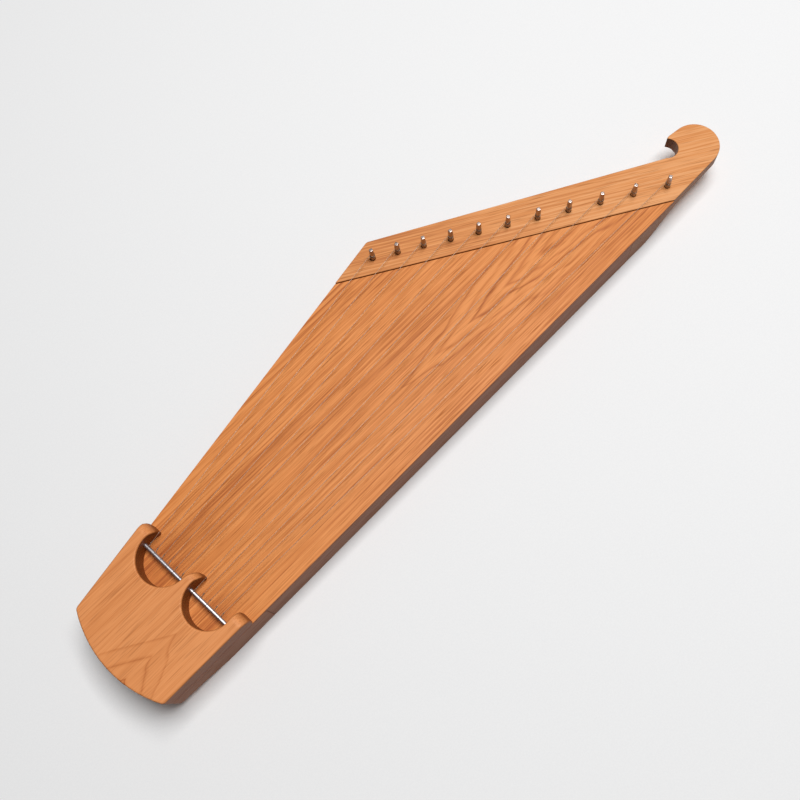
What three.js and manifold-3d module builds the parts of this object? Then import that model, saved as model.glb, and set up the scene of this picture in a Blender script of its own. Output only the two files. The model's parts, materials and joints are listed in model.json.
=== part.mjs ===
// A small wing-shaped zither of the Baltic psaltery kind: eleven strings between a steel bar and tuning pins.
//
// Millimetres, +Z up. It lies on the bottom edges of its open-backed box, and the origin is under the middle
// of its bounding box. +X runs along the straight bass edge from tail to scroll, +Y to the treble edge.

import * as THREE from 'three';
import { mergeVertices } from 'three/addons/utils/BufferGeometryUtils.js';
import Module from 'manifold-3d';

const wasm = await Module();
wasm.setup();

// Heights above the surface the instrument lies on.
const BOX_TOP = 42; // face of the soundboard
const BOARD_THICK = 4;
const HEAD_TOP = 43.5; // the pin block stands a little proud of the soundboard
const TAIL_TOP = 64;
const FIT_GAP = 0.3; // glue gap between neighbouring pieces
const UNDER_BOARD = BOX_TOP - BOARD_THICK - FIT_GAP; // top of everything that carries the soundboard

// Plan. Lines are placed from the tail's bass corner: x along the bass edge, y across to the treble edge.
const TREBLE_START = 121.7; // width at the tail's bass corner
const TREBLE_ANGLE = 9.9; // the treble edge opens away from the bass edge
const TAIL_SETBACK = 4; // the treble corner of the tail lies this much further back
const TAIL_BULGE = 15; // rise of the tail's curved end over its chord
const TAIL_FRONT = 100; // front of the tail's horns, at the bass edge
const TAIL_FRONT_ANGLE = 93.1;
const JOINT_START = 684; // where soundboard and pin block meet, at the bass edge
const JOINT_ANGLE = 147.8;
const HEAD_EDGE_X = 714; // a point of the head's outer edge, beside the hook
const HEAD_EDGE_Y = 38.4;
const HEAD_EDGE_ANGLE = 149.9;
const HEAD_CORNER_R = 6;
const TAIL_CORNER_R = 5;

// The scroll: a disc at the end of the head, a smaller lobe for the hook's tip, and a round bite.
const SCROLL = { x: 746.4, y: 26.2, r: 25 };
const LOBE = { x: 737, y: 43.2, r: 9.5 };
const BITE = { x: 724.5, y: 44.8, r: 11.6 };
const HEAD_EASE_X = 665; // from here to the scroll the bass edge draws in a little

// Tail, measured back from the line along the horns' front and across from the bass edge.
const TAIL_LEDGE = 15; // the block under the soundboard reaches this far in front of the horns
const TAIL_ROUND = 11; // rounding of the horns' top front edge
const TAIL_RISE_START = 32; // from here back the underside curves up
const TAIL_RISE_FLAT = 52; // the curve's two control points
const TAIL_RISE_STEEP = { back: 70, high: 14 };
const TAIL_RISE_END = { back: 118, high: 17 }; // just past the tail's end
const TREBLE_RECESS = { back: 11.6, across: 98.2, r: 26.6, leave: 95 };
const BASS_RECESS = { back: 12.4, across: 37.9, r: 24.5, leave: 84 };
const LIP_BACK = 1; // a recess's treble lip, from the horns' front
const TREBLE_HORN_TIP = 124.5; // where the horns' front ends, across from the bass edge
const MIDDLE_HORN_TREBLE = 66.5;
const MIDDLE_HORN_BASS = 61.5;
const BASS_HORN_TIP = 13.5;
const HORN_HOLLOW = 1; // depth of the curve in the middle horn's treble side
const HORN_CORNER_R = 5;

// Pin block section, measured from the joint line towards the head.
const BLOCK_BACK = -34;
const BLOCK_FLAT_END = -18.5;
const BLOCK_RAMP_HEIGHT = 22; // its height under the joint line
const HEAD_BLEND_END = 14;
const HEAD_BOTTOM = 27.5;
const PAST_HEAD = 120;
const SWEEP_REACH = 900; // longer than the instrument

// Box.
const SIDE_THICK = 7;
const LINING_WIDE = 6;
const LINING_HIGH = 8;
const BRACE_WIDE = 9;
const BRACE_HIGH = 12;
const BRACE_TIP_HIGH = 5;
const BRACE_TAPER = 22;
const BRACES = { brace_tail: 190, brace_middle: 320, brace_head: 450 };

// Strings, bar and pins.
const STRING_COUNT = 11;
const TREBLE_STRINGS = 6; // strings that start in the treble recess
const BAR_R = 2;
const BAR_HOLE_R = 2.35;
const BAR_HEIGHT = BOX_TOP + 9;
const BAR_BACK = 17; // from the front of the horns
const BAR_START = 8; // blind end in the bass horn, from the bass edge
const BAR_INSET = 2.5; // its other end, in from the treble face
const STRING_R = 0.2;
const STRING_START_TREBLE = 120;
const STRING_START_BASS = 58.4;
const STRING_PITCH = 8.6;
const LOOP_FROM = -60; // the loop round the bar, from under its front, behind and over its top
const LOOP_TO = -270;
const STRING_LEAD = 0.4; // the straight part starts this far inside the loop's end
const PIN_ROW = 17; // from the joint line
const PIN_FIRST = 430; // x of the shortest string's pin
const PIN_PITCH = 26.2; // first distance along the row, which then grows
const PIN_PITCH_GROWTH = 1.02;
const PIN_R = 2.5;
const PIN_HOLE_R = 2.75;
const PIN_SUNK = 13;
const PIN_HOLE_DEPTH = 13.5;
const PIN_POINT = { inset: 0.8, high: 1.2 }; // chamfer at its lower end
const PIN_SHAFT = 11; // round part above the wood
const PIN_SHOULDER = { inset: 0.4, high: 0.5 };
const PIN_TALL = 18;
const PIN_HEAD_WIDE = 4.2; // across the flats at the foot of the square head
const PIN_HEAD_TAPER = 0.86;
const PIN_HEAD_ROOT = 1; // the head starts this far inside the shaft
const COIL_R = 3.05;
const COIL_LOW = 3.4;
const COIL_HIGH = 6.2;
const COIL_EASE = 0.3;

// How finely the round surfaces are divided.
const RECESS_STEPS = 30;
const TAIL_END_STEPS = 14;
const CORNER_STEPS = 6;
const HOLLOW_STEPS = 8; // the middle horn's treble side
const FRONT_STEPS = 8; // the rounding of the horns' front
const RISE_STEPS = 12; // the tail's underside
const BLEND_STEPS = 5; // the head's underside
const PIN_SIDES = 14;
const BAR_SIDES = 20;
const BORE_SIDES = 16;
const SCROLL_SIDES = 56;
const BITE_SIDES = 36;
const LOOP_STEPS = 10;
const WIRE_SEGMENTS = 3; // curve segments of a string's round section

const WOOD = { color: 0xd98f55, roughness: 0.55, metalness: 0 };
const BOARD_WOOD = { color: 0xd88b4f, roughness: 0.55, metalness: 0 };
const SPRUCE = { color: 0xe3c08c, roughness: 0.7, metalness: 0 };
const STEEL = { color: 0xd4d4d6, roughness: 0.25, metalness: 1 };
const NICKEL = { color: 0xb9b4ae, roughness: 0.3, metalness: 1 };

const instrument = new THREE.Group();

const radians = THREE.MathUtils.degToRad;

// ---- plan geometry --------------------------------------------------------------------------------

/** A line through a point, in degrees from +X. */
function line(x, y, angle) {
  return { x, y, dx: Math.cos(radians(angle)), dy: Math.sin(radians(angle)) };
}

/** The same line moved to its left by a distance. */
function shifted(l, distance) {
  return { ...l, x: l.x - l.dy * distance, y: l.y + l.dx * distance };
}

function meet(a, b) {
  const t = ((b.x - a.x) * b.dy - (b.y - a.y) * b.dx) / (a.dx * b.dy - a.dy * b.dx);
  return new THREE.Vector2(a.x + a.dx * t, a.y + a.dy * t);
}

const bassEdge = line(0, 0, 0);
const trebleEdge = line(0, TREBLE_START, TREBLE_ANGLE);
const tailFront = line(TAIL_FRONT, 0, TAIL_FRONT_ANGLE);
const jointLine = line(JOINT_START, 0, JOINT_ANGLE);
const headEdge = line(HEAD_EDGE_X, HEAD_EDGE_Y, HEAD_EDGE_ANGLE);
const pinRow = shifted(jointLine, -PIN_ROW);

/** A point given by its distance back from the horns' front line and its distance along that line. */
function tailPoint(back, across) {
  const l = shifted(tailFront, back);
  return new THREE.Vector2(l.x + l.dx * across, l.y + l.dy * across);
}

/** Points between a and b on the arc that bulges to the right of that way, or to the left if rise < 0. */
function arcPoints(a, b, rise, steps) {
  const chord = b.clone().sub(a);
  const half = chord.length() / 2;
  const r = (half * half + rise * rise) / (2 * rise);
  const right = new THREE.Vector2(chord.y, -chord.x).normalize();
  const centre = a.clone().add(b).multiplyScalar(0.5).addScaledVector(right, rise - r);
  const sweep = 2 * Math.asin(half / r);
  const points = [];
  for (let i = 1; i < steps; i += 1) {
    points.push(a.clone().rotateAround(centre, (sweep * i) / steps));
  }
  return points;
}

/** Replaces the corner at p by points on a round of radius r between the directions to its neighbours. */
function roundCorner(before, p, after, r) {
  const a = before.clone().sub(p).normalize();
  const b = after.clone().sub(p).normalize();
  const halfAngle = Math.acos(THREE.MathUtils.clamp(a.dot(b), -1, 1)) / 2;
  const reach = r / Math.tan(halfAngle);
  const centre = a.clone().add(b).normalize().multiplyScalar(r / Math.sin(halfAngle)).add(p);
  const from = p.clone().addScaledVector(a, reach).sub(centre);
  const to = p.clone().addScaledVector(b, reach).sub(centre);
  const turn = Math.atan2(from.x * to.y - from.y * to.x, from.dot(to));
  const points = [];
  for (let i = 0; i <= CORNER_STEPS; i += 1) {
    points.push(from.clone().rotateAround(new THREE.Vector2(), (turn * i) / CORNER_STEPS).add(centre));
  }
  return points;
}

// ---- solids ---------------------------------------------------------------------------------------

/** The outline extruded upward between two heights. */
function prism(points, low, high) {
  const geometry = new THREE.ExtrudeGeometry(new THREE.Shape(points), {
    depth: high - low,
    bevelEnabled: false,
  });
  return geometry.translate(0, 0, low);
}

/** A profile of (distance, height) points, swept sideways along a horizontal line, both ways. */
function sweptProfile(profile, along) {
  const geometry = new THREE.ExtrudeGeometry(new THREE.Shape(profile), {
    depth: 2 * SWEEP_REACH,
    bevelEnabled: false,
  });
  geometry.translate(0, 0, -SWEEP_REACH);
  const outward = new THREE.Vector3(along.dy, -along.dx, 0);
  const up = new THREE.Vector3(0, 0, 1);
  const sideways = new THREE.Vector3().crossVectors(outward, up);
  const frame = new THREE.Matrix4().makeBasis(outward, up, sideways).setPosition(along.x, along.y, 0);
  return geometry.applyMatrix4(frame);
}

/** A cylinder between two points. */
function rod(from, to, r, sides) {
  const axis = to.clone().sub(from);
  const geometry = new THREE.CylinderGeometry(r, r, axis.length(), sides);
  const up = new THREE.Vector3(0, 1, 0);
  const turn = new THREE.Quaternion().setFromUnitVectors(up, axis.clone().normalize());
  const middle = from.clone().add(to).multiplyScalar(0.5);
  return geometry.applyQuaternion(turn).translate(middle.x, middle.y, middle.z);
}

function upright(x, y, low, high, r, sides) {
  return rod(new THREE.Vector3(x, y, low), new THREE.Vector3(x, y, high), r, sides);
}

function solid(geometry) {
  const bare = geometry.clone();
  bare.deleteAttribute('normal');
  bare.deleteAttribute('uv');
  const merged = mergeVertices(bare, 1e-4);
  return new wasm.Manifold(new wasm.Mesh({
    numProp: 3,
    vertProperties: new Float32Array(merged.attributes.position.array),
    triVerts: new Uint32Array(merged.index.array),
  }));
}

function geometryOf(manifold) {
  const mesh = manifold.getMesh();
  const geometry = new THREE.BufferGeometry();
  geometry.setAttribute('position', new THREE.BufferAttribute(new Float32Array(mesh.vertProperties), 3));
  geometry.setIndex(new THREE.BufferAttribute(new Uint32Array(mesh.triVerts), 1));
  return geometry;
}

function add(name, geometry, finish) {
  const mesh = new THREE.Mesh(geometry, new THREE.MeshStandardMaterial(finish));
  mesh.name = name;
  instrument.add(mesh);
}

// ---- tail -----------------------------------------------------------------------------------------

const tailEndBass = new THREE.Vector2(0, 0);
const tailEndTreble = meet(trebleEdge, line(-TAIL_SETBACK, 0, 90));

/** The tail's curved end, from the treble corner to the bass corner, with both corners eased. */
function tailEnd() {
  const arc = arcPoints(tailEndTreble, tailEndBass, TAIL_BULGE, TAIL_END_STEPS);
  const trebleSide = meet(trebleEdge, line(TAIL_FRONT, 0, 90));
  const bassSide = new THREE.Vector2(TAIL_FRONT, 0);
  return [
    ...roundCorner(trebleSide, tailEndTreble, arc[0], TAIL_CORNER_R),
    ...arc,
    ...roundCorner(arc[arc.length - 1], tailEndBass, bassSide, TAIL_CORNER_R),
  ];
}

/** The part of a recess's circle from its treble lip round the back to where its bass wall leaves it. */
function recessArc(recess) {
  const lip = Math.acos((recess.back - LIP_BACK) / recess.r);
  const end = 2 * Math.PI - radians(recess.leave);
  const points = [];
  for (let i = 0; i <= RECESS_STEPS; i += 1) {
    const angle = lip + ((end - lip) * i) / RECESS_STEPS;
    const back = recess.back - recess.r * Math.cos(angle);
    points.push(tailPoint(back, recess.across + recess.r * Math.sin(angle)));
  }
  return points;
}

/** Outline of the raised part: horns and recesses in front, the curved end behind. */
function raisedOutline() {
  const trebleTip = tailPoint(0, TREBLE_HORN_TIP);
  const trebleCorner = roundCorner(tailEndTreble, meet(trebleEdge, tailFront), trebleTip, HORN_CORNER_R);
  const trebleArc = recessArc(TREBLE_RECESS);
  const middleBase = trebleArc[trebleArc.length - 1];
  const middleTip = tailPoint(0, MIDDLE_HORN_TREBLE);
  const front = [
    ...trebleCorner,
    trebleTip,
    ...trebleArc,
    ...arcPoints(middleBase, middleTip, -HORN_HOLLOW, HOLLOW_STEPS),
    middleTip,
    tailPoint(0, MIDDLE_HORN_BASS),
    ...recessArc(BASS_RECESS),
    tailPoint(0, BASS_HORN_TIP),
    meet(bassEdge, tailFront),
  ];
  return [...front.reverse(), ...tailEnd()];
}

/** Side profile of the block, with its curved underside: (distance in front of the horns' front, height). */
function blockProfile() {
  const underside = new THREE.CubicBezierCurve(
    new THREE.Vector2(-TAIL_RISE_END.back, TAIL_RISE_END.high),
    new THREE.Vector2(-TAIL_RISE_STEEP.back, TAIL_RISE_STEEP.high),
    new THREE.Vector2(-TAIL_RISE_FLAT, 0),
    new THREE.Vector2(-TAIL_RISE_START, 0),
  );
  return [
    ...underside.getPoints(RISE_STEPS),
    new THREE.Vector2(TAIL_LEDGE, 0),
    new THREE.Vector2(TAIL_LEDGE, UNDER_BOARD),
    new THREE.Vector2(-TAIL_RISE_END.back, UNDER_BOARD),
  ];
}

/** Side profile of the cap, with the horns' rounded front, in the same measures. */
function capProfile() {
  const shape = [
    new THREE.Vector2(-TAIL_RISE_END.back, BOX_TOP + FIT_GAP),
    new THREE.Vector2(0, BOX_TOP + FIT_GAP),
  ];
  for (let i = 0; i <= FRONT_STEPS; i += 1) {
    const angle = (Math.PI / 2) * (i / FRONT_STEPS);
    const x = -TAIL_ROUND * (1 - Math.cos(angle));
    shape.push(new THREE.Vector2(x, TAIL_TOP - TAIL_ROUND * (1 - Math.sin(angle))));
  }
  shape.push(new THREE.Vector2(-TAIL_RISE_END.back, TAIL_TOP));
  return shape;
}

function barLine() {
  const along = shifted(tailFront, BAR_BACK);
  const from = meet(along, bassEdge).addScaledVector(new THREE.Vector2(along.dx, along.dy), BAR_START);
  const to = meet(along, shifted(trebleEdge, -BAR_INSET));
  return [new THREE.Vector3(from.x, from.y, BAR_HEIGHT), new THREE.Vector3(to.x, to.y, BAR_HEIGHT)];
}

/** The block inside the tail, under the soundboard. */
function buildTailBlock() {
  const ledgeEnd = shifted(tailFront, -TAIL_LEDGE);
  const plan = [...tailEnd(), meet(bassEdge, ledgeEnd), meet(trebleEdge, ledgeEnd)];
  const profile = sweptProfile(blockProfile(), tailFront);
  return geometryOf(solid(prism(plan, 0, BOX_TOP)).intersect(solid(profile)));
}

/** The raised cap on the soundboard that holds the bar. */
function buildTailCap() {
  const [barFrom, barTo] = barLine();
  const along = barTo.clone().sub(barFrom).normalize();
  const bore = rod(
    barFrom.clone().addScaledVector(along, -FIT_GAP),
    barTo.clone().addScaledVector(along, 2 * SIDE_THICK),
    BAR_HOLE_R,
    BORE_SIDES,
  );
  const profile = sweptProfile(capProfile(), tailFront);
  const raised = solid(prism(raisedOutline(), BOX_TOP, TAIL_TOP));
  return geometryOf(raised.intersect(solid(profile)).subtract(solid(bore)));
}

// ---- pin block ------------------------------------------------------------------------------------

function pinPlace(index) {
  const first = meet(pinRow, line(PIN_FIRST, 0, 90));
  const run = index * PIN_PITCH + (PIN_PITCH_GROWTH * index * (index - 1)) / 2;
  return new THREE.Vector2(first.x - pinRow.dx * run, first.y - pinRow.dy * run);
}

/** Section across the joint line: (distance towards the head, height). */
function pinBlockProfile() {
  const run = (HEAD_BOTTOM - BLOCK_RAMP_HEIGHT) * (-BLOCK_FLAT_END / BLOCK_RAMP_HEIGHT);
  const blend = new THREE.QuadraticBezierCurve(
    new THREE.Vector2(0, BLOCK_RAMP_HEIGHT),
    new THREE.Vector2(run, HEAD_BOTTOM),
    new THREE.Vector2(HEAD_BLEND_END, HEAD_BOTTOM),
  );
  return [
    new THREE.Vector2(BLOCK_BACK, 0),
    new THREE.Vector2(BLOCK_FLAT_END, 0),
    ...blend.getPoints(BLEND_STEPS),
    new THREE.Vector2(PAST_HEAD, HEAD_BOTTOM),
    new THREE.Vector2(PAST_HEAD, HEAD_TOP),
    new THREE.Vector2(0, HEAD_TOP),
    new THREE.Vector2(0, UNDER_BOARD),
    new THREE.Vector2(BLOCK_BACK, UNDER_BOARD),
  ];
}

/** The scroll before its bite is cut: disc, lobe, and the web up to the line that touches both outside. */
function scrollSolid() {
  const disc = new THREE.Vector2(SCROLL.x, SCROLL.y);
  const lobe = new THREE.Vector2(LOBE.x, LOBE.y);
  const apart = lobe.clone().sub(disc);
  const angle = apart.angle() - Math.acos((SCROLL.r - LOBE.r) / apart.length());
  const outward = new THREE.Vector2(Math.cos(angle), Math.sin(angle));
  const web = prism([
    disc,
    disc.clone().addScaledVector(outward, SCROLL.r),
    lobe.clone().addScaledVector(outward, LOBE.r),
    lobe,
  ], 0, HEAD_TOP);
  return solid(upright(SCROLL.x, SCROLL.y, 0, HEAD_TOP, SCROLL.r, SCROLL_SIDES))
    .add(solid(upright(LOBE.x, LOBE.y, 0, HEAD_TOP, LOBE.r, BITE_SIDES)))
    .add(solid(web));
}

function buildPinBlock() {
  const blockBack = shifted(jointLine, -BLOCK_BACK);
  const outerCorner = meet(trebleEdge, headEdge);
  const trebleBack = meet(trebleEdge, blockBack);
  const atScroll = meet(headEdge, line(SCROLL.x - SCROLL.r, 0, 90));
  const plan = prism([
    meet(bassEdge, blockBack),
    new THREE.Vector2(HEAD_EASE_X, 0),
    new THREE.Vector2(SCROLL.x, SCROLL.y - SCROLL.r),
    new THREE.Vector2(SCROLL.x, SCROLL.y),
    atScroll,
    ...roundCorner(atScroll, outerCorner, trebleBack, HEAD_CORNER_R),
    trebleBack,
  ], 0, HEAD_TOP);
  const bite = upright(BITE.x, BITE.y, -1, HEAD_TOP + 1, BITE.r, BITE_SIDES);
  const profile = sweptProfile(pinBlockProfile(), jointLine);
  let block = solid(plan).add(scrollSolid()).subtract(solid(bite)).intersect(solid(profile));
  for (let i = 0; i < STRING_COUNT; i += 1) {
    const p = pinPlace(i);
    const hole = upright(p.x, p.y, HEAD_TOP - PIN_HOLE_DEPTH, HEAD_TOP + 1, PIN_HOLE_R, BORE_SIDES);
    block = block.subtract(solid(hole));
  }
  return geometryOf(block);
}

// ---- box ------------------------------------------------------------------------------------------

const tailLimit = shifted(tailFront, -TAIL_LEDGE - FIT_GAP);
const headLimit = shifted(jointLine, -BLOCK_BACK + FIT_GAP);

/** A board standing between the tail block and the pin block, between two lengthwise lines. */
function lengthwise(low, high, outer, inner) {
  return prism([
    meet(outer, tailLimit),
    meet(outer, headLimit),
    meet(inner, headLimit),
    meet(inner, tailLimit),
  ], low, high);
}

/** The top board, from the tail's curved end to the pin block. */
function buildSoundboard() {
  const headEnd = shifted(jointLine, FIT_GAP);
  const plan = [...tailEnd(), meet(bassEdge, headEnd), meet(trebleEdge, headEnd)];
  return prism(plan, BOX_TOP - BOARD_THICK, BOX_TOP);
}

/** A bar across the box at x, full height in its middle and thinned to its ends. */
function buildBrace(x) {
  const clear = SIDE_THICK + LINING_WIDE + 2 * FIT_GAP;
  const bassInner = shifted(bassEdge, clear);
  const trebleInner = shifted(trebleEdge, -clear);
  const before = line(x - BRACE_WIDE / 2, 0, 90);
  const after = line(x + BRACE_WIDE / 2, 0, 90);
  const reach = (edge) => {
    const atTreble = meet(edge, trebleInner);
    const atHead = meet(edge, shifted(headLimit, FIT_GAP));
    return atTreble.y < atHead.y ? atTreble : atHead;
  };
  const plan = prism(
    [meet(before, bassInner), meet(after, bassInner), reach(after), reach(before)],
    UNDER_BOARD - BRACE_HIGH,
    UNDER_BOARD,
  );
  const high = Math.max(reach(before).y, reach(after).y);
  const profile = sweptProfile([
    new THREE.Vector2(clear, UNDER_BOARD + 1),
    new THREE.Vector2(clear, UNDER_BOARD - BRACE_TIP_HIGH),
    new THREE.Vector2(clear + BRACE_TAPER, UNDER_BOARD - BRACE_HIGH),
    new THREE.Vector2(high - BRACE_TAPER, UNDER_BOARD - BRACE_HIGH),
    new THREE.Vector2(high, UNDER_BOARD - BRACE_TIP_HIGH),
    new THREE.Vector2(high, UNDER_BOARD + 1),
  ], line(0, 0, 180));
  return geometryOf(solid(plan).intersect(solid(profile)));
}

// ---- strings and pins -----------------------------------------------------------------------------

function buildPin(index) {
  const p = pinPlace(index);
  const low = HEAD_TOP - PIN_SUNK;
  const coilLow = HEAD_TOP + COIL_LOW;
  const coilHigh = HEAD_TOP + COIL_HIGH;
  const shaftTop = HEAD_TOP + PIN_SHAFT;
  const profile = [
    [0, low],
    [PIN_R - PIN_POINT.inset, low],
    [PIN_R, low + PIN_POINT.high],
    [PIN_R, coilLow],
    [COIL_R, coilLow + COIL_EASE],
    [COIL_R, coilHigh - COIL_EASE],
    [PIN_R, coilHigh],
    [PIN_R, shaftTop - PIN_SHOULDER.high],
    [PIN_R - PIN_SHOULDER.inset, shaftTop],
    [0, shaftTop],
  ].map(([r, z]) => new THREE.Vector2(r, z));
  const shaft = new THREE.LatheGeometry(profile, PIN_SIDES).rotateX(Math.PI / 2);
  const headLow = shaftTop - PIN_HEAD_ROOT;
  const headTall = HEAD_TOP + PIN_TALL - headLow;
  const cornerR = PIN_HEAD_WIDE / Math.SQRT2;
  const head = new THREE.CylinderGeometry(cornerR * PIN_HEAD_TAPER, cornerR, headTall, 4)
    .rotateY(Math.PI / 4)
    .rotateX(Math.PI / 2)
    .translate(0, 0, headLow + headTall / 2);
  return geometryOf(solid(shaft).add(solid(head))).translate(p.x, p.y, 0);
}

/** Where string i leaves the bar. */
function stringStart(index) {
  const inTreble = index < TREBLE_STRINGS;
  const across = inTreble
    ? STRING_START_TREBLE - STRING_PITCH * index
    : STRING_START_BASS - STRING_PITCH * (index - TREBLE_STRINGS);
  const p = tailPoint(BAR_BACK, across);
  return new THREE.Vector3(p.x, p.y, BAR_HEIGHT);
}

/** The open loop of a string round the bar, in the upright plane of the string. */
class BarLoop extends THREE.Curve {
  constructor(centre, forward, r) {
    super();
    this.centre = centre;
    this.forward = forward;
    this.r = r;
  }

  getPoint(t, target = new THREE.Vector3()) {
    const angle = radians(LOOP_FROM + (LOOP_TO - LOOP_FROM) * t);
    return target
      .copy(this.centre)
      .addScaledVector(this.forward, this.r * Math.cos(angle))
      .add(new THREE.Vector3(0, 0, this.r * Math.sin(angle)));
  }
}

/** A round wire along a curve, with flat ends. */
function wire(curve, steps) {
  const section = new THREE.Shape().absarc(0, 0, STRING_R, 0, 2 * Math.PI);
  return new THREE.ExtrudeGeometry(section, {
    steps,
    curveSegments: WIRE_SEGMENTS,
    bevelEnabled: false,
    extrudePath: curve,
  });
}

/** Loop round the bar, then straight from its top to the treble side of the pin's coil. */
function buildString(index) {
  const start = stringStart(index);
  const pin = pinPlace(index);
  const toPin = new THREE.Vector2(pin.x - start.x, pin.y - start.y).normalize();
  const side = new THREE.Vector2(-toPin.y, toPin.x).multiplyScalar(COIL_R + STRING_R + FIT_GAP);
  const end = new THREE.Vector3(pin.x + side.x, pin.y + side.y, HEAD_TOP + (COIL_LOW + COIL_HIGH) / 2);
  const forward = new THREE.Vector3(end.x - start.x, end.y - start.y, 0).normalize();
  const loop = new BarLoop(start, forward, BAR_R + FIT_GAP + STRING_R);
  const straight = new THREE.LineCurve3(loop.getPoint(1).addScaledVector(forward, -STRING_LEAD), end);
  return geometryOf(solid(wire(loop, LOOP_STEPS)).add(solid(wire(straight, 1))));
}

// ---- the whole instrument -------------------------------------------------------------------------

add('tail_block', buildTailBlock(), WOOD);
add('tail_cap', buildTailCap(), WOOD);
add('pin_block', buildPinBlock(), WOOD);
add('soundboard', buildSoundboard(), BOARD_WOOD);
add('bass_side', lengthwise(0, UNDER_BOARD, bassEdge, shifted(bassEdge, SIDE_THICK)), WOOD);
add('treble_side', lengthwise(0, UNDER_BOARD, shifted(trebleEdge, -SIDE_THICK), trebleEdge), WOOD);
const liningLow = UNDER_BOARD - LINING_HIGH;
const liningOuter = SIDE_THICK + FIT_GAP;
const liningInner = liningOuter + LINING_WIDE;
add('bass_lining', lengthwise(
  liningLow,
  UNDER_BOARD,
  shifted(bassEdge, liningOuter),
  shifted(bassEdge, liningInner),
), SPRUCE);
add('treble_lining', lengthwise(
  liningLow,
  UNDER_BOARD,
  shifted(trebleEdge, -liningInner),
  shifted(trebleEdge, -liningOuter),
), SPRUCE);
for (const [name, x] of Object.entries(BRACES)) {
  add(name, buildBrace(x), SPRUCE);
}
add('string_bar', rod(...barLine(), BAR_R, BAR_SIDES), STEEL);
for (let i = 0; i < STRING_COUNT; i += 1) {
  const number = String(i + 1).padStart(2, '0');
  add(`tuning_pin_${number}`, buildPin(i), NICKEL);
  add(`string_${number}`, buildString(i), STEEL);
}

// Put the origin under the middle of the bounding box.
const box = new THREE.Box3().setFromObject(instrument);
const middle = box.getCenter(new THREE.Vector3());
instrument.position.set(-middle.x, -middle.y, 0);
instrument.updateMatrixWorld(true);

export default instrument;
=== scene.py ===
"""A small wing-shaped zither with eleven strings, on a pale floor. Metres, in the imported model's frame.

+X runs along the straight bass edge from the tail to the scroll, +Y to the treble edge and +Z out of the
soundboard.
"""

import json
import math
import random

import bmesh
import bpy
from mathutils import Matrix, Vector


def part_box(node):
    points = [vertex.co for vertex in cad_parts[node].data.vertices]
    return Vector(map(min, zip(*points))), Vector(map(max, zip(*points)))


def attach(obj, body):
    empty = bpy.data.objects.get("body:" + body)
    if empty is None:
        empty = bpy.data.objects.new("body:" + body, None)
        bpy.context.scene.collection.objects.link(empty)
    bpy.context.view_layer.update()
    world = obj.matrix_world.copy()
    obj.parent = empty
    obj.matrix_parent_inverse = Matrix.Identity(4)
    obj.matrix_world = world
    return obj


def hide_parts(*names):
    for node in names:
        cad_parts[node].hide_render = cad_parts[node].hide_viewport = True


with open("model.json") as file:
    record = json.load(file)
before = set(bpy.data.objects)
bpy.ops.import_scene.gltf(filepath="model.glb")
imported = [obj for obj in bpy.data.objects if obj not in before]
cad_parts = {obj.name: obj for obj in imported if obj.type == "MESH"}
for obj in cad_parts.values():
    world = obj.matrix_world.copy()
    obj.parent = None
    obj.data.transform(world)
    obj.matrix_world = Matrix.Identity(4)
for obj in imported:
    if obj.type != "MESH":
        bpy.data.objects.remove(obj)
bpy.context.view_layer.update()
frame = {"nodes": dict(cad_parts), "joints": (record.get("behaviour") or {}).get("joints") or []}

MM = 0.001
UP = Vector((0, 0, 1))
BOX = "box"  # the body that everything but the pins and their coils rides on

# Easing of the edges.
HAIR = 0.05 * MM  # points this close in height count as level
POINT_GAP = 0.3 * MM  # closer points become one before easing
CAP_POINT_GAP = 0.1 * MM
CAP_EASE = 2.0 * MM
CAP_SINK = 0.3 * MM  # glue fills the line between the cap and the soundboard
CAP_CORNER_ROOM = 1.6  # times the easing
CAP_MERGE = 0.6  # times the easing
BORE_CLEAR = 4 * MM  # edges within this of the bore's axis stay sharp
FLAT_UNDER = 0.6  # degrees between two faces that become one
SHARP_OVER = 32  # degrees between two faces from which their edge is eased
CORNER_OVER = 30  # degrees of an upright corner
CURVE_UNDER = 15  # degrees between two facets of an upright curve
SMOOTH_UNDER = 50  # degrees between two faces that shade as one surface

# Strings.
WIRE_R = 0.2 * MM
COIL_TURNS = 4  # at least
COIL_PITCH = 2.06 * WIRE_R
COIL_CLIMB = 0.6  # the last part of a turn climbs to the string hole
COIL_STEPS = 28  # points in a turn
STRING_TAIL = 0.7 * MM  # stands out of the far side of the hole
STRING_STEPS = 12  # points from the pin to the bar
LOOP_REACH = 4.6 * MM  # from the bar to where the loop closes
LOOP_STEPS = 24
JOIN_STEPS = 8
WRAPS = 5
WRAP_R = 2.1 * WIRE_R
WRAP_PITCH = 2.2 * WIRE_R
WRAP_STEPS = 14  # points in a turn
CAD_LOOP = 5.5 * MM  # length of the CAD string's loop, from its near end
CAD_STRING_END = 0.3 * MM  # points this close to its far end belong to that end

# Bar and pins.
CAD_BAR_END = 0.8 * MM  # points this close to an end of the CAD bar belong to that end
BAR_EASE = 0.7 * MM
BAR_POINTS = 40
BAR_SMOOTH_UNDER = 40  # degrees
PIN_POINTS = 32
PIN_R = 2.5 * MM
PIN_TIP = (0.8 * MM, 1.2 * MM)  # inset and height of the cone at the lower end
PIN_HEAD = 4.2 * MM  # across the flats at the foot of the square head
PIN_HEAD_TOP = 3.62 * MM
PIN_HEAD_ROUND = 0.35 * MM
ROUND = 2.0  # a section's power, see square_round
SQUARE = 8.0
SQUARE_TOP = 6.0
PIN_SMOOTH_UNDER = 38  # degrees
THREAD_PITCH = 0.55 * MM
THREAD_DEEP = 0.14 * MM
THREAD_END = 0.3 * MM  # height in which the thread runs out
THREAD_TOP = 2.6 * MM  # above the wood, as the three below
HOLE_HIGH = 8.7 * MM
SHAFT_TOP = 10.2 * MM
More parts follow.
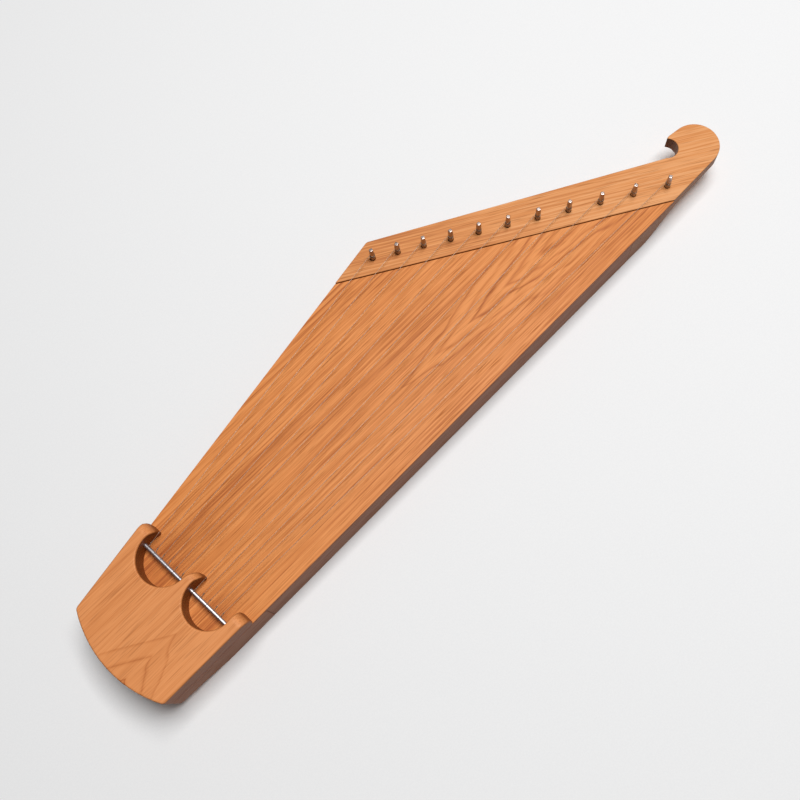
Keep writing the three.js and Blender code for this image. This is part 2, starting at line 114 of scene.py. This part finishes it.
NECK_TOP = 11.6 * MM
HOLE_R = 0.55 * MM
HOLE_ROOM = (1.2 * MM, 1.0 * MM)  # plain shaft below and above the hole's axis
SHAFT_TAPER = 0.05 * MM
NECK_STEPS = 4

# Wood colours, linear.
CHERRY_LIGHT = (0.710, 0.280, 0.098)
CHERRY_MID = (0.635, 0.232, 0.073)
CHERRY_DARK = (0.440, 0.132, 0.034)
BOARD_LIGHT = (0.705, 0.262, 0.074)
BOARD_MID = (0.600, 0.200, 0.047)
BOARD_DARK = (0.370, 0.095, 0.019)
BLOCK_LIGHT = (0.705, 0.325, 0.128)
BLOCK_MID = (0.625, 0.240, 0.070)
BLOCK_DARK = (0.450, 0.145, 0.040)
SPRUCE_LIGHT = (0.78, 0.57, 0.33)
SPRUCE_MID = (0.70, 0.48, 0.25)
SPRUCE_DARK = (0.50, 0.29, 0.12)
# Painted shade for upright faces and roll-overs: the wood's colour is multiplied by this as they turn from
# level.
UPRIGHT_SHADE = (0.36, 0.27, 0.15)  # what an upright face keeps of its colour
SHINE = 0.18  # specular level of oiled wood

# Wood texture: cells of noise in a metre, along the grain and across it both ways.
BEND_CELLS = (1.6, 5, 5)
RIPPLE_CELLS = (6, 60, 60)
STREAK_CELLS = (5, 430, 430)
FIBRE_CELLS = (22, 1300, 1300)
PORE_CELLS = (42, 1300, 1300)
GLINT_CELLS = (20, 1000, 1000)
PATCH_CELLS = (4, 18, 18)
WAVE_CELLS = (14, 44, 44)
RING_BEND = 10 * MM  # how far the rings wander
RING_RIPPLE = 2.2 * MM
ARCH_WAVE = 16 * MM  # how far the arches wander


# ---- node trees ----------------------------------------------------------------------------------

class Nodes:
    """A short way to write a material's node tree."""

    def __init__(self, name):
        self.material = bpy.data.materials.new(name)
        self.material.use_nodes = True
        self.tree = self.material.node_tree
        self.tree.nodes.clear()
        self.output = self.tree.nodes.new("ShaderNodeOutputMaterial")
        self.shader = self.tree.nodes.new("ShaderNodeBsdfPrincipled")
        self.link(self.shader.outputs["BSDF"], self.output.inputs["Surface"])
        coordinates = self.tree.nodes.new("ShaderNodeTexCoord")
        self.place = coordinates.outputs["Object"]
        self.facing = coordinates.outputs["Normal"]

    def link(self, source, target):
        self.tree.links.new(source, target)

    def put(self, value, socket):
        if isinstance(value, bpy.types.NodeSocket):
            self.link(value, socket)
        else:
            socket.default_value = value

    def finish(self, socket, value):
        """Gives one of the shader's own sockets a value or a link."""
        self.put(value, self.shader.inputs[socket])

    def math(self, operation, a, b=0.0, c=0.0):
        node = self.tree.nodes.new("ShaderNodeMath")
        node.operation = operation
        for value, socket in zip((a, b, c), node.inputs):
            self.put(value, socket)
        return node.outputs[0]

    def parts(self, vector):
        """The x, y and z of a vector."""
        node = self.tree.nodes.new("ShaderNodeSeparateXYZ")
        self.link(vector, node.inputs[0])
        return node.outputs

    def mapped(self, vector, location=(0, 0, 0), rotation=(0, 0, 0), scale=(1, 1, 1)):
        node = self.tree.nodes.new("ShaderNodeMapping")
        self.link(vector, node.inputs["Vector"])
        node.inputs["Location"].default_value = location
        node.inputs["Rotation"].default_value = rotation
        node.inputs["Scale"].default_value = scale
        return node.outputs[0]

    def noise(self, vector, scale, detail=2.0, roughness=0.5, dimensions="3D"):
        node = self.tree.nodes.new("ShaderNodeTexNoise")
        node.noise_dimensions = dimensions
        self.link(vector, node.inputs["W" if dimensions == "1D" else "Vector"])
        node.inputs["Scale"].default_value = scale
        node.inputs["Detail"].default_value = detail
        node.inputs["Roughness"].default_value = roughness
        return node.outputs["Fac"]

    def grain(self, vector, location, cells, detail, roughness=0.5):
        """Noise with that many cells in a metre each way."""
        return self.noise(self.mapped(vector, location=location, scale=cells), 1.0, detail, roughness)

    def per_step(self, value, scale, low, high):
        """A random number between low and high for each whole step of a value."""
        chance = self.noise(self.math("FLOOR", value), scale, 0.0, dimensions="1D")
        return self.span(chance, 0.3, 0.7, low, high)

    def ramp(self, factor, *stops):
        """stops are (position, value or colour)."""
        node = self.tree.nodes.new("ShaderNodeValToRGB")
        elements = node.color_ramp.elements
        while len(elements) < len(stops):
            elements.new(0.5)
        for element, (position, value) in zip(elements, stops):
            element.position = position
            element.color = (*value, 1) if isinstance(value, tuple) else (value, value, value, 1)
        self.link(factor, node.inputs[0])
        return node.outputs[0]

    def span(self, value, low, high, to_low, to_high):
        node = self.tree.nodes.new("ShaderNodeMapRange")
        for part, socket in zip((value, low, high, to_low, to_high), node.inputs):
            self.put(part, socket)
        return node.outputs[0]

    def mix(self, factor, a, b, blend="MIX"):
        node = self.tree.nodes.new("ShaderNodeMix")
        node.data_type = "RGBA"
        node.blend_type = blend
        self.put(factor, node.inputs[0])
        for value, socket in zip((a, b), node.inputs[6:8]):
            self.put((*value, 1) if isinstance(value, tuple) else value, socket)
        return node.outputs[2]

    def bump(self, height, strength, distance):
        node = self.tree.nodes.new("ShaderNodeBump")
        node.inputs["Strength"].default_value = strength
        node.inputs["Distance"].default_value = distance
        self.link(height, node.inputs["Height"])
        self.link(node.outputs[0], self.shader.inputs["Normal"])


# ---- materials -----------------------------------------------------------------------------------

def growth_rings(n, at, depth, ring, centre, seed, figured):
    """How far each ring's late wood darkens it: some rings more, some less."""
    _, y, z = n.parts(at)
    bend = n.grain(at, (seed * 3, seed, 0), BEND_CELLS, 1.0)
    ripple = n.grain(at, (seed, 7, seed), RIPPLE_CELLS, 2.0)
    across = n.math("SUBTRACT", y, centre)
    under = n.math("ADD", z, depth)
    radial = n.math("SQRT", n.math("ADD", n.math("POWER", across, 2.0), n.math("POWER", under, 2.0)))
    radial = n.math("MULTIPLY_ADD", bend, RING_BEND, radial)
    radial = n.math("MULTIPLY_ADD", ripple, RING_RIPPLE, radial)
    rings = n.math("DIVIDE", radial, ring)
    late = n.ramp(
        n.math("FRACT", rings),
        (0.0, 0.35), (0.10, 0.0), (0.5, 0.12), (0.85, 0.6), (0.96, 1.0), (1.0, 0.35),
    )
    return n.math("MULTIPLY", late, n.per_step(rings, 1.7, 0.15 * figured, 0.62 * figured))


def nested_arches(n, at, seed, tip_x, tip_y, way, fall, pitch, spread, share, tone):
    """(how much the arches darken the wood, how much of them is kept here), as wood says for arches."""
    x, y, _ = n.parts(at)
    wave = n.grain(at, (seed, 2, 1), WAVE_CELLS, 2.0)
    waved = n.math("MULTIPLY_ADD", wave, ARCH_WAVE, y)
    aside = n.math("ABSOLUTE", n.math("SUBTRACT", waved, tip_y + ARCH_WAVE / 2))
    past_tip = n.math("MULTIPLY", n.math("SUBTRACT", x, tip_x), way)
    nest = n.math("DIVIDE", n.math("MULTIPLY_ADD", aside, -fall, past_tip), pitch)
    nest = n.math("MULTIPLY_ADD", wave, 0.8, nest)
    outline = n.ramp(
        n.math("FRACT", nest),
        (0.0, 0.6), (share, 1.0), (2.5 * share, 0.4), (5 * share, 0.05), (0.85, 0.05), (1.0, 0.45),
    )
    beside = n.span(aside, 0.5 * spread, spread, 1.0, 0.0)
    kept = n.math("MULTIPLY", beside, n.span(nest, 0.0, 0.12, 0.0, 1.0))
    outline = n.math("MULTIPLY", outline, n.per_step(nest, 2.3, 0.6, 1.0))
    return n.math("MULTIPLY", n.math("SUBTRACT", outline, -tone), kept), kept


def wood(
    name, light, mid, dark, depth=60 * MM, ring=3.6 * MM, centre=0.0, turn=0.0, seed=0.0,
    arches=None, drift=None, figured=1.0, streaks=1.0, pores=0.5, gloss=0.46,
):
    """Flat-sawn wood with its grain at an angle of turn from +X.

    Growth rings are cylinders, ring thick, about a line under the surface at y = centre and z = -depth.
    arches is (x, y, way, fall, pitch, spread, share, tone). Pointed arches nest from that tip towards +X
    (way 1) or -X (way -1), pitch apart and fall times longer than their half width. They fade out beyond
    spread either side. Their dark outlines take up about twice that share of the pitch, and tone darkens
    all of the figure. drift is (start, end, tone, tone): the colour drifts between these places along
    its grain. On the pin block that is the plank's own tone; on the soundboard it is painted shade.
    """
    n = Nodes(name)
    at = n.mapped(n.place, rotation=(0, 0, -turn))

    # Streaks, fibres and open pores, all long and thin.
    streak = n.grain(at, (3, 1, 2 + seed), STREAK_CELLS, 2.0, 0.6)
    fibre = n.grain(at, (seed, 0, 0), FIBRE_CELLS, 1.0)
    pit = n.span(n.grain(at, (1, 5, seed), PORE_CELLS, 0.0), 0.62, 0.75, 0.0, 1.0)
    glint = n.span(n.grain(at, (9, 2, seed), GLINT_CELLS, 0.0), 0.62, 0.76, 0, 1)
    patch = n.grain(at, (seed, 0, 4), PATCH_CELLS, 1.0)

    amount = growth_rings(n, at, depth, ring, centre, seed, figured)
    amount = n.math("ADD", amount, n.span(streak, 0.25, 0.75, -0.36 * streaks, 0.52 * streaks))
    amount = n.math("ADD", amount, n.span(fibre, 0.3, 0.7, -0.20, 0.29))
    amount = n.math("ADD", amount, n.span(patch, 0.3, 0.7, -0.05, 0.16))
    if arches:
        figure, kept = nested_arches(n, at, seed, *arches)
        amount = n.math("ADD", n.math("MULTIPLY", amount, n.span(kept, 0, 1, 1.0, 0.5)), figure)
    if drift:
        along = n.parts(at)[0]
        amount = n.math("ADD", amount, n.span(along, *drift))
    colour = n.ramp(amount, (0.0, light), (0.4, mid), (1.0, dark))
    colour = n.mix(n.math("MULTIPLY", pit, pores), colour, tuple(0.6 * c for c in dark))
    colour = n.mix(n.math("MULTIPLY", glint, 0.6 * pores), colour, tuple(min(1.0, 1.2 * c) for c in light))

    # Painted shade: faces that turn away from level, upright ones most, are darkened and reddened by how
    # they face, in place of the shade they get under overhead light.
    flat = n.span(n.math("ABSOLUTE", n.parts(n.facing)[2]), 0.15, 0.9, 0.0, 1.0)
    shaded_upright = n.mix(1.0, colour, UPRIGHT_SHADE, "MULTIPLY")
    n.finish("Base Color", n.mix(flat, shaded_upright, colour))
    worn = n.span(fibre, 0.2, 0.8, gloss - 0.05, gloss + 0.07)
    n.finish("Roughness", n.math("MULTIPLY_ADD", pit, 0.16, worn))
    n.finish("Specular IOR Level", SHINE)
    n.bump(n.math("MULTIPLY_ADD", pit, -1.0, n.math("MULTIPLY", fibre, 0.5)), 0.3, 0.1 * MM)
    return n.material


def metal(name, colour, shade, roughness, stretch, scratches):
    """Plated or drawn metal: fine scratches along one way and a thin uneven dulling."""
    n = Nodes(name)
    lines = n.grain(n.place, (0, 0, 0), stretch, 3.0, 0.6)
    dull = n.span(n.noise(n.place, 260.0, 2.0), 0.35, 0.7, 0.0, 0.45)
    n.finish("Base Color", n.mix(dull, colour, shade))
    n.finish("Metallic", 1.0)
    scratched = n.span(lines, 0.3, 0.7, roughness - 0.05, roughness + 0.07)
    n.finish("Roughness", n.math("ADD", scratched, n.math("MULTIPLY", dull, 0.12)))
    n.bump(lines, scratches, 0.02 * MM)
    return n.material


def paper(name):
    """The floor: matt off-white with a barely visible tooth."""
    n = Nodes(name)
    tooth = n.noise(n.place, 700.0, 3.0)
    n.finish("Base Color", n.mix(n.span(tooth, 0.3, 0.7, 0, 1), (0.775, 0.775, 0.78), (0.80, 0.80, 0.80)))
    n.finish("Roughness", 0.95)
    n.finish("Specular IOR Level", 0.1)
    n.bump(tooth, 0.1, 0.1 * MM)
    return n.material


# ---- pieces and their edges ----------------------------------------------------------------------

def make(name, mesh, material, body, replaced=()):
    """A new piece of that mesh, which rides on body, has that material and stands for the CAD nodes."""
    piece = bpy.data.objects.new(name, mesh)
    bpy.context.scene.collection.objects.link(piece)
    mesh.materials.clear()
    mesh.materials.append(material)
    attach(piece, body)
    if replaced:
        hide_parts(*replaced)
    return piece


def finished(name, bm, sharp_over):
    """A smooth mesh of bm, whose edges stay sharp from sharp_over degrees."""
    mesh = bpy.data.meshes.new(name)
    bm.to_mesh(mesh)
    bm.free()
    mesh.shade_smooth()
    mesh.set_sharp_from_angle(angle=math.radians(sharp_over))
    return mesh


def mean(points):
    return sum(points, Vector()) / len(points)


def outward_edges(bm):
    """Outward edges whose two faces meet at more than SHARP_OVER degrees."""
    limit = math.radians(SHARP_OVER)
    return [e for e in bm.edges if e.is_manifold and e.calc_face_angle_signed(0) > limit]


def upright(edge):
    return (edge.verts[0].co - edge.verts[1].co).xy.length < 0.01 * MM


def clear_corners(bm, reach):
    """A curve's upright edges within reach of an upright corner go, which leaves room for easing it."""
    angles = {e: abs(e.calc_face_angle_signed(0)) for e in bm.edges if e.is_manifold and upright(e)}
    corners = [e.verts[0].co.xy for e, angle in angles.items() if angle > math.radians(CORNER_OVER)]
    spare = [
        e for e, angle in angles.items()
        if angle < math.radians(CURVE_UNDER) and min((e.verts[0].co.xy - c).length for c in corners) < reach
    ]
    bmesh.ops.dissolve_edges(bm, edges=spare, use_verts=True)


def away(point, axis):
    """Whether a point is further than BORE_CLEAR from the line through two points."""
    start, end = axis
    run = (end - start).normalized()
    offset = point - start
    return (offset - run * offset.dot(run)).length > BORE_CLEAR


def eased(node, name, material, ease, segments=3, point_gap=POINT_GAP, bore=None, sink=0.0):
    """The CAD node's shape with its outward edges eased, as sanded wood is.

    Points closer than point_gap become one first. With a bore, given as the two ends of its axis, the edges
    round it and round the underside stay sharp and the corners of the plan get room for a wide easing. sink
    lowers the underside.
    """
    bm = bmesh.new()
    bm.from_mesh(frame["nodes"][node].data)
    bmesh.ops.remove_doubles(bm, verts=bm.verts, dist=point_gap)
    bmesh.ops.dissolve_limit(bm, angle_limit=math.radians(FLAT_UNDER), verts=bm.verts, edges=bm.edges)
    low = min(v.co.z for v in bm.verts) + HAIR
    for v in bm.verts:
        if v.co.z < low:
            v.co.z -= sink
    if bore:
        outer = [v for v in bm.verts if away(v.co, bore)]
        bmesh.ops.remove_doubles(bm, verts=outer, dist=CAP_MERGE * ease)
        clear_corners(bm, CAP_CORNER_ROOM * ease)
    edges = outward_edges(bm)
    if bore:
        edges = [e for e in edges if max(v.co.z for v in e.verts) > low]
        edges = [e for e in edges if away(mean([v.co for v in e.verts]), bore)]
    bmesh.ops.bevel(
        bm,
        geom=edges,
        offset=ease,
        segments=segments,
        profile=0.5,
        affect="EDGES",
        clamp_overlap=False,
        miter_outer="ARC",
    )
    piece = make(name, finished(name, bm, SMOOTH_UNDER), material, BOX, [node])
    weighted = piece.modifiers.new("even_shading", "WEIGHTED_NORMAL")
    weighted.keep_sharp = True
    weighted.weight = 80


def turned(count):
    """That many angles evenly round a circle."""
    return [2 * math.pi * k / count for k in range(count)]


def skin(bm, sections):
    """A closed skin over rings of equally many points, each ring listed the same way round."""
    rings = [[bm.verts.new(p) for p in section] for section in sections]
    count = len(rings[0])
    for a, b in zip(rings, rings[1:]):
        for k in range(count):
            bm.faces.new((a[k], a[(k + 1) % count], b[(k + 1) % count], b[k]))
    bm.faces.new(list(reversed(rings[0])))
    bm.faces.new(rings[-1])


def tube(name, path, radius, sides=10):
    """A closed round tube along a list of points."""
    sections = []
    direction = (path[1] - path[0]).normalized()
    across = direction.orthogonal().normalized()
    for i, point in enumerate(path):
        before = path[max(i - 1, 0)]
        after = path[min(i + 1, len(path) - 1)]
        run = (after - before).normalized()
        across = (across - run * across.dot(run)).normalized()
        other = run.cross(across)
        ring = [point + radius * (across * math.cos(t) + other * math.sin(t)) for t in turned(sides)]
        sections.append(ring)
    bm = bmesh.new()
    skin(bm, sections)
    return finished(name, bm, SMOOTH_UNDER)


def bar_mesh(start, end, radius):
    """A round rod with eased ends."""
    run = (end - start).normalized()
    across = run.orthogonal().normalized()
    other = run.cross(across)
    length = (end - start).length
    quarter = [math.radians(22.5 * i) for i in range(5)]
    stations = [(BAR_EASE * (1 - math.cos(t)), radius - BAR_EASE * (1 - math.sin(t))) for t in quarter]
    stations += [(length - at, r) for at, r in reversed(stations)]
    sections = [
        [start + run * at + r * (across * math.cos(t) + other * math.sin(t)) for t in turned(BAR_POINTS)]
        for at, r in stations
    ]
    bm = bmesh.new()
    skin(bm, sections)
    return finished("string_bar_rod", bm, BAR_SMOOTH_UNDER)


# ---- pins ----------------------------------------------------------------------------------------

def square_round(half, power, angle):
    """Distance to a rounded square of that half width: power 2 is a circle, larger ones are squarer."""
    c = abs(math.cos(angle)) ** power
    s = abs(math.sin(angle)) ** power
    return half * (c + s) ** (-1 / power)


def pin_section(z, half, power=ROUND, groove=0.0):
    """A ring of the pin at a height. groove is how deep the thread is cut there."""
    ring = []
    for angle in turned(PIN_POINTS):
        r = square_round(half, power, angle)
        if groove:
            phase = (z / THREAD_PITCH - angle / (2 * math.pi)) % 1.0
            r -= groove * abs(2 * phase - 1)
        ring.append(Vector((r * math.cos(angle), r * math.sin(angle), z)))
    return ring


def pin_mesh(low, wood_top, high):
    """A zither pin about the Z axis: fine thread, smooth shaft with room for a string hole, tapered square
    head.
    """
    tip_inset, tip_high = PIN_TIP
    room_below, room_above = HOLE_ROOM
    rise = THREAD_PITCH / 4
    thread_steps = int((wood_top + THREAD_TOP - low - tip_high) / rise)
    sections = [pin_section(low, PIN_R - tip_inset)]
    for i in range(thread_steps + 1):
        sections.append(pin_section(low + tip_high + i * rise, PIN_R, groove=THREAD_DEEP))
    for above in (THREAD_TOP + THREAD_END, HOLE_HIGH - room_below, HOLE_HIGH + room_above):
        sections.append(pin_section(wood_top + above, PIN_R))
    sections.append(pin_section(wood_top + SHAFT_TOP, PIN_R - SHAFT_TAPER))
    for i in range(1, NECK_STEPS + 1):
        share = i / NECK_STEPS
        neck = wood_top + SHAFT_TOP + (NECK_TOP - SHAFT_TOP) * share
        half = PIN_R + (PIN_HEAD / 2 - PIN_R) * share
        sections.append(pin_section(neck, half, ROUND + (SQUARE - ROUND) * share * share))
    top = high - PIN_HEAD_ROUND
    sections.append(pin_section(top, PIN_HEAD_TOP / 2, SQUARE))
    for i in range(1, 4):
        bend = math.radians(30 * i)
        inward = PIN_HEAD_ROUND * (1 - math.cos(bend))
        height = top + PIN_HEAD_ROUND * math.sin(bend)
        sections.append(pin_section(height, PIN_HEAD_TOP / 2 - inward, SQUARE))
    sections.append(pin_section(high, PIN_HEAD_TOP / 2 - 2 * PIN_HEAD_ROUND, SQUARE_TOP))
    bm = bmesh.new()
    skin(bm, sections)
    return finished("pin_template", bm, PIN_SMOOTH_UNDER)


def drilled(mesh, high, radius):
    """The mesh with a hole bored through it along X at a height."""
    body = bpy.data.objects.new("pin_blank", mesh)
    bore_path = [Vector((x * PIN_R, 0, high)) for x in (-2, 0, 2)]
    drill = bpy.data.objects.new("pin_drill", tube("pin_drill", bore_path, radius, 14))
    for blank in (body, drill):
        bpy.context.scene.collection.objects.link(blank)
    cut = body.modifiers.new("hole", "BOOLEAN")
    cut.operation = "DIFFERENCE"
    cut.solver = "EXACT"
    cut.object = drill
    bpy.context.view_layer.update()
    result = bpy.data.meshes.new_from_object(body.evaluated_get(bpy.context.evaluated_depsgraph_get()))
    for blank in (body, drill):
        bpy.data.objects.remove(blank)
    result.shade_smooth()
    result.set_sharp_from_angle(angle=math.radians(PIN_SMOOTH_UNDER))
    return result


def coil_path(start, hole_angle, low, hole_high):
    """The string on its pin, about the Z axis: it turns up from start, climbs and goes through the hole."""
    radius = PIN_R + WIRE_R
    turns = COIL_TURNS + ((start - hole_angle) / (2 * math.pi)) % 1.0
    steps = int(turns * COIL_STEPS)
    path = []
    for i in range(steps + 1):
        angle = start - 2 * math.pi * turns * i / steps
        rise = COIL_PITCH * turns * i / steps
        left = turns * (1 - i / steps)
        climb = max(0.0, 1 - left / COIL_CLIMB)
        z = low + rise + (hole_high - low - COIL_PITCH * turns) * climb * climb * (3 - 2 * climb)
        path.append(Vector((radius * math.cos(angle), radius * math.sin(angle), z)))
    inward = Vector((math.cos(hole_angle), math.sin(hole_angle), 0))
    for reach in (PIN_R + 0.5 * WIRE_R, PIN_R * 0.9, 0.0, -PIN_R, -PIN_R - STRING_TAIL):
        path.append(inward * reach + UP * hole_high)
    return path


# ---- strings -------------------------------------------------------------------------------------

def points_of(node):
    return [v.co.copy() for v in frame["nodes"][node].data.vertices]


def bar_ends():
    points = points_of("string_bar")
    low = min(p.y for p in points)
    high = max(p.y for p in points)
    return (
        mean([p for p in points if p.y < low + CAD_BAR_END]),
        mean([p for p in points if p.y > high - CAD_BAR_END]),
    )


def string_ends(node, bar_low, bar_high):
    """(the bar's centre under the string, the string's far end) of a CAD string."""
    points = points_of(node)
    near = min(p.x for p in points)
    far = max(p.x for p in points)
    loop = mean([p for p in points if p.x < near + CAD_LOOP])
    share = (loop.y - bar_low.y) / (bar_high.y - bar_low.y)
    return bar_low.lerp(bar_high, share), mean([p for p in points if p.x > far - CAD_STRING_END])


def string_path(centre, bar_r, end):
    """From the pin's coil to the bar, over, behind and under it, back to the string and wrapped round it."""
    ahead = Vector((end.x - centre.x, end.y - centre.y, 0)).normalized()
    radius = bar_r + WIRE_R
    top = centre + UP * radius
    run = (end - top).normalized()
    path = [end.lerp(top, i / STRING_STEPS) for i in range(STRING_STEPS)]

    # Round the bar to where it leaves for the join.
    join = top + run * LOOP_REACH - UP * WRAP_R
    u = (join - centre).dot(ahead)
    w = (join - centre).z
    first = math.pi / 2
    last = math.atan2(w, u) - math.acos(radius / math.hypot(u, w))
    sweep = 2 * math.pi + last - first
    for i in range(LOOP_STEPS + 1):
        angle = first + sweep * i / LOOP_STEPS
        path.append(centre + radius * (ahead * math.cos(angle) + UP * math.sin(angle)))
    leave = path[-1]
    for i in range(1, JOIN_STEPS):
        path.append(leave.lerp(join, i / JOIN_STEPS))

    # Wraps round the string.
    side = run.cross(UP).normalized()
    lift = side.cross(run)
    for i in range(WRAPS * WRAP_STEPS + 1):
        angle = -math.pi / 2 + 2 * math.pi * i / WRAP_STEPS
        on = top + run * (LOOP_REACH + WRAP_PITCH * i / WRAP_STEPS)
        path.append(on + WRAP_R * (side * math.cos(angle) + lift * math.sin(angle)))
    return path


# ---- the pieces ----------------------------------------------------------------------------------

tail_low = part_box("tail_cap")[0]
board_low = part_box("soundboard")[0]
wood_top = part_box("pin_block")[1].z
bar_low, bar_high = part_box("string_bar")
bar_a, bar_b = bar_ends()
bar_radius = (bar_high.z - bar_low.z) / 2
pins = {j["child"]: Vector(j["pos_m"]) for j in frame["joints"]}
pin_names = sorted(pins)
row = pins[pin_names[-1]] - pins[pin_names[0]]
row_angle = math.atan2(row.y, row.x)
row_span = [pins[name].dot(row.normalized()) for name in (pin_names[0], pin_names[-1])]

tail_wood = wood(
    "tail_wood", CHERRY_LIGHT, CHERRY_MID, CHERRY_DARK, seed=0.37, figured=0.5, streaks=0.75, pores=0.35,
    arches=(tail_low.x + 52 * MM, tail_low.y + 40 * MM, -1, 1.7, 27 * MM, 60 * MM, 0.05, 0.10),
)
# Painted shade: drift darkens the soundboard's last 100 to 130 mm at the tail, where the recess floors lie
# in the shade of the cap.
board_wood = wood(
    "board_wood", BOARD_LIGHT, BOARD_MID, BOARD_DARK, seed=0.11, pores=0.4,
    drift=(board_low.x + 100 * MM, board_low.x + 130 * MM, 0.25, 0.0),
    arches=(board_low.x + 380 * MM, board_low.y + 60 * MM, 1, 5.5, 50 * MM, 46 * MM, 0.13, -0.18),
)
block_wood = wood(
    "block_wood", BLOCK_LIGHT, BLOCK_MID, BLOCK_DARK, centre=-0.12, turn=row_angle, seed=0.73,
    figured=0.8, streaks=0.9, pores=0.45, drift=(*row_span, 0.22, -0.08),
)
side_wood = wood(
    "side_wood", CHERRY_LIGHT, CHERRY_MID, CHERRY_DARK, depth=0.16, seed=0.52, streaks=0.8, pores=0.4,
)
spruce = wood(
    "spruce", SPRUCE_LIGHT, SPRUCE_MID, SPRUCE_DARK, centre=0.5, ring=1.8 * MM, seed=0.91, streaks=0.5,
    pores=0.05, gloss=0.62,
)
cross_spruce = wood(
    "cross_spruce", SPRUCE_LIGHT, SPRUCE_MID, SPRUCE_DARK, centre=0.5, ring=1.8 * MM, turn=math.pi / 2,
    seed=0.23, streaks=0.5, pores=0.05, gloss=0.62,
)
bar_steel = metal("bar_steel", (0.62, 0.60, 0.63), (0.46, 0.44, 0.46), 0.40, (2500, 60, 2500), 0.05)
wire_steel = metal("wire_steel", (0.46, 0.36, 0.28), (0.34, 0.25, 0.18), 0.46, (60, 2500, 2500), 0.05)
nickel = metal("nickel", (0.42, 0.35, 0.32), (0.17, 0.12, 0.10), 0.24, (900, 900, 4000), 0.10)

eased(
    "tail_cap", "tail_cap_shaped", tail_wood, CAP_EASE, segments=4,
    point_gap=CAP_POINT_GAP, bore=(bar_a, bar_b), sink=CAP_SINK,
)
eased("tail_block", "tail_block_shaped", side_wood, 0.6 * MM)
eased("pin_block", "pin_block_shaped", block_wood, 0.8 * MM)
eased("soundboard", "soundboard_shaped", board_wood, 0.5 * MM, segments=2)
eased("bass_side", "bass_side_board", side_wood, 0.5 * MM, segments=2)
eased("treble_side", "treble_side_board", side_wood, 0.5 * MM, segments=2)
for lining in ("bass_lining", "treble_lining"):
    eased(lining, lining + "_strip", spruce, 0.6 * MM, segments=2)
for brace in ("brace_tail", "brace_middle", "brace_head"):
    eased(brace, brace + "_bar", cross_spruce, 1.2 * MM)
make("string_bar_rod", bar_mesh(bar_a, bar_b, bar_radius), bar_steel, BOX, ["string_bar"])

# Pins, strings and the coils that join them.
pin_low, pin_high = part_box("tuning_pin_01")
template = drilled(pin_mesh(pin_low.z, wood_top, pin_high.z), wood_top + HOLE_HIGH, HOLE_R)
rng = random.Random(11)
for body in pin_names:
    number = body[-2:]
    axis = pins[body]
    hole_angle = rng.uniform(0, 2 * math.pi)
    pin = template.copy()
    pin.name = f"tuning_pin_{number}_steel"
    pin.transform(Matrix.Translation((axis.x, axis.y, 0)) @ Matrix.Rotation(hole_angle, 4, "Z"))
    make(f"tuning_pin_{number}_steel", pin, nickel, body, [f"tuning_pin_{number}"])

    centre, far = string_ends(f"string_{number}", bar_a, bar_b)
    out = Vector((far.x - axis.x, far.y - axis.y, 0)).normalized()
    touch = Vector((axis.x, axis.y, far.z)) + out * (PIN_R + WIRE_R)
    string = tube(f"string_{number}_wire", string_path(centre, bar_radius, touch), WIRE_R)
    make(f"string_{number}_wire", string, wire_steel, BOX, [f"string_{number}"])

    path = coil_path(math.atan2(out.y, out.x), hole_angle, far.z, wood_top + HOLE_HIGH)
    path = [Vector((axis.x + p.x, axis.y + p.y, p.z)) for p in path]
    coil = tube(f"string_{number}_coil", path, WIRE_R, 8)
    make(f"string_{number}_coil", coil, wire_steel, body)


# ---- floor, light and camera ---------------------------------------------------------------------

FLOOR_HALF = 6.0
FLOOR_TOP = -0.3 * MM
SOFTBOX_SIDE = 1.7
SOFTBOX_PLACE = Vector((0.80, -0.05, 3.3))
CAMERA_PLACE = (-0.17514, -0.28482, 0.86676)
CAMERA_TURN = (17.923, 4.865, -45.03)  # degrees

floor_corners = [(x * FLOOR_HALF, y * FLOOR_HALF) for x, y in ((-1, -1), (1, -1), (1, 1), (-1, 1))]
floor_mesh = bpy.data.meshes.new("floor")
floor_mesh.from_pydata([(x, y, FLOOR_TOP) for x, y in floor_corners], [], [(0, 1, 2, 3)])
floor_mesh.materials.append(paper("floor_paper"))
floor = bpy.data.objects.new("floor", floor_mesh)
bpy.context.scene.collection.objects.link(floor)

softbox_light = bpy.data.lights.new("softbox", "AREA")
softbox_light.shape = "RECTANGLE"
softbox_light.size = SOFTBOX_SIDE
softbox_light.size_y = SOFTBOX_SIDE
softbox_light.energy = 130
softbox = bpy.data.objects.new("softbox", softbox_light)
softbox.location = SOFTBOX_PLACE
softbox.rotation_euler = (-SOFTBOX_PLACE).to_track_quat("-Z", "Y").to_euler()
bpy.context.scene.collection.objects.link(softbox)

world = bpy.data.worlds.new("studio")
world.use_nodes = True
world.node_tree.nodes["Background"].inputs["Color"].default_value = (1, 1, 1, 1)
world.node_tree.nodes["Background"].inputs["Strength"].default_value = 0.08
bpy.context.scene.world = world
bpy.context.scene.view_settings.view_transform = "Standard"

camera_data = bpy.data.cameras.new("camera")
camera_data.lens = 40.5
camera_data.sensor_width = 36
camera = bpy.data.objects.new("camera", camera_data)
camera.location = CAMERA_PLACE
camera.rotation_euler = tuple(math.radians(a) for a in CAMERA_TURN)
bpy.context.scene.collection.objects.link(camera)
bpy.context.scene.camera = camera
